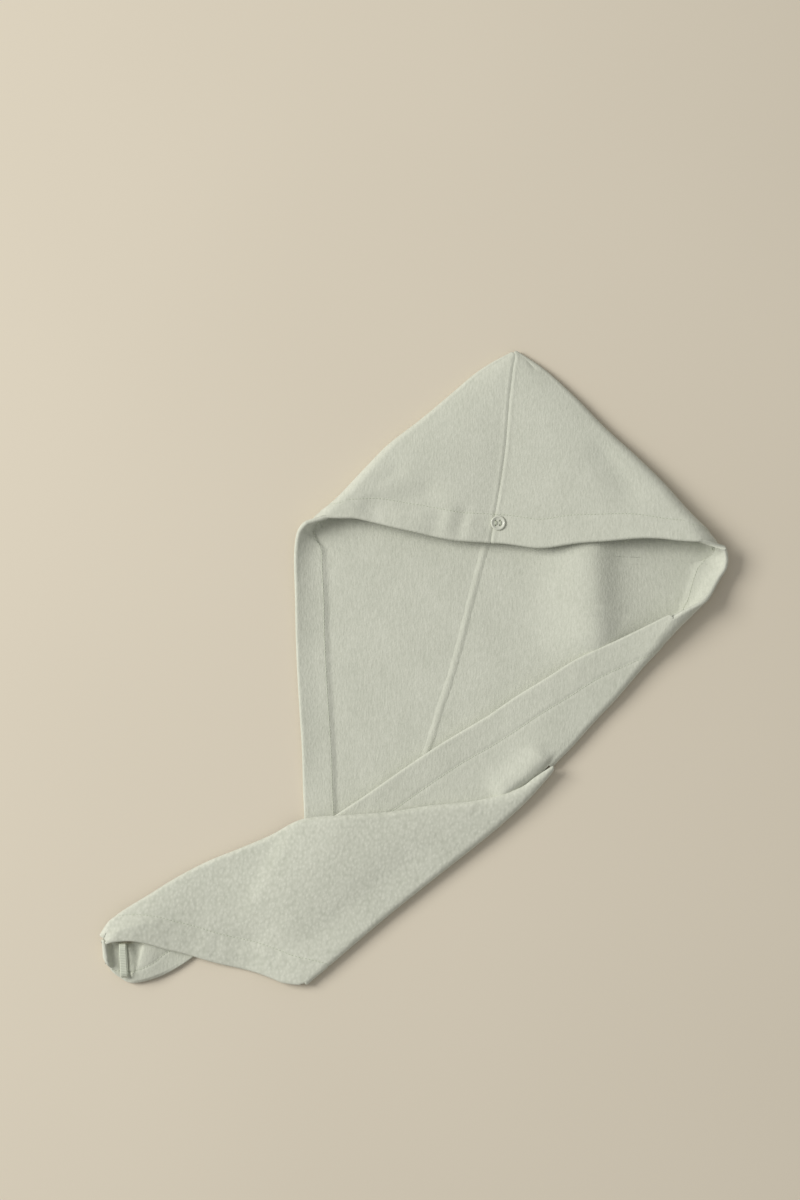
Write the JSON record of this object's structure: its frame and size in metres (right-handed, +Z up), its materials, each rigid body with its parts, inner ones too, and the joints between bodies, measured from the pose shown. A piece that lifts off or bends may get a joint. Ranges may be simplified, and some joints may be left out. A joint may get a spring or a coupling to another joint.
{
  "type": "hair turban towel",
  "caption": "Terry hair turban towel laid flat: a seamed hood with a button, open back, one side folded over and a tail with an elastic loop.",
  "frame": {"origin": "middle of the laid towel's footprint, on the surface that it lies on", "axes": "+Z up, +Y towards the hood's point, +X towards the hood's right corner as seen from above"},
  "size_m": [0.6234, 0.6328, 0.0276],
  "materials": {
    "terry": "pale sage cotton terry with a short pile",
    "terry_seam": "sewn edge of the same terry",
    "button_resin": "satin pale green resin",
    "thread": "matching sewing thread",
    "elastic": "pale woven elastic"
  },
  "bodies": {
    "root": {"left_panel": "terry", "right_panel": "terry", "front_seam": "terry_seam", "back_seam": "terry_seam", "button": "button_resin", "button_thread": "thread", "loop": "elastic"}
  },
  "joints": []
}
